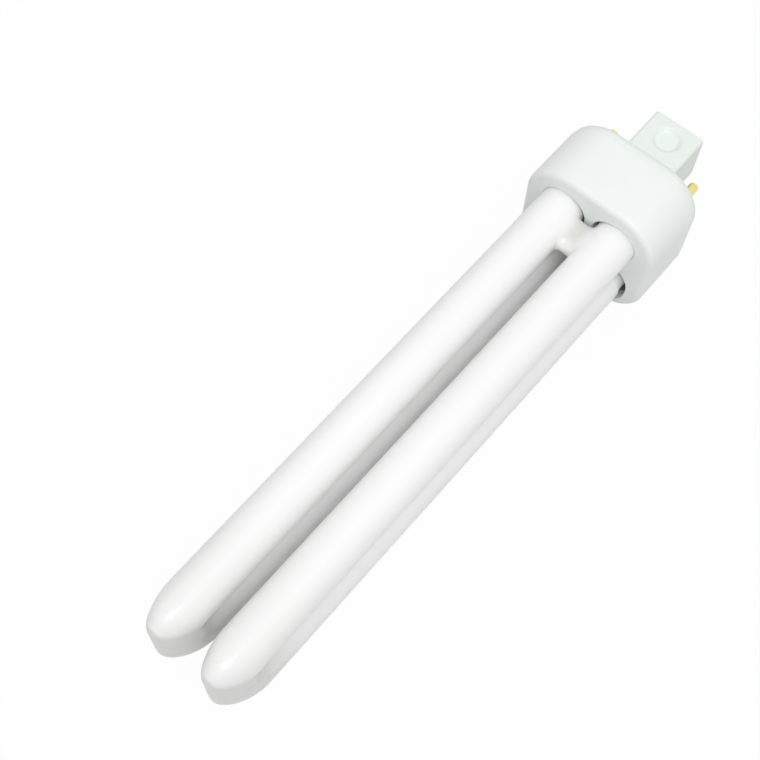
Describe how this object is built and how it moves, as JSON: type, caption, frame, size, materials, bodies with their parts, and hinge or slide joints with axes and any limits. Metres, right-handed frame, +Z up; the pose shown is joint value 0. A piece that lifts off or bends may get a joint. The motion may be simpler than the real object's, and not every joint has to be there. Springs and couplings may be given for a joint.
{
  "type": "plug-in fluorescent lamp",
  "caption": "Plug-in fluorescent lamp: U-shaped glass tubes in a moulded base with a rectangular plug post and contact pins.",
  "frame": {"origin": "centre of the underside's bounding rectangle, on the surface the lamp lies on", "axes": "+X from the tube tips to the plug post, along the lying lamp; +Y to the left U tube; +Z up, the side of the front limbs and their bridge"},
  "size_m": [0.1682, 0.0348, 0.0341],
  "materials": {
    "phosphor_glass": "smooth clear glass over an even white phosphor coating, opaque when unlit",
    "housing_plastic": "moulded cool white thermoplastic with a fine satin surface",
    "cap_plastic": "moulded slightly greenish white thermoplastic with a fine satin surface",
    "cement": "rough dull basing cement",
    "pin_brass": "drawn bright brass with fine lengthwise marks",
    "lead_wire": "bare nickelled wire"
  },
  "bodies": {
    "root": {"discharge_tube": "phosphor_glass", "base_housing": "housing_plastic", "basing_cement": "cement", "plug_cap": "cap_plastic", "contact_pin_front_left": "pin_brass", "lead_wire_front_left": "lead_wire", "contact_pin_front_right": "pin_brass", "lead_wire_front_right": "lead_wire", "contact_pin_rear_left": "pin_brass", "lead_wire_rear_left": "lead_wire", "contact_pin_rear_right": "pin_brass", "lead_wire_rear_right": "lead_wire"}
  },
  "joints": []
}
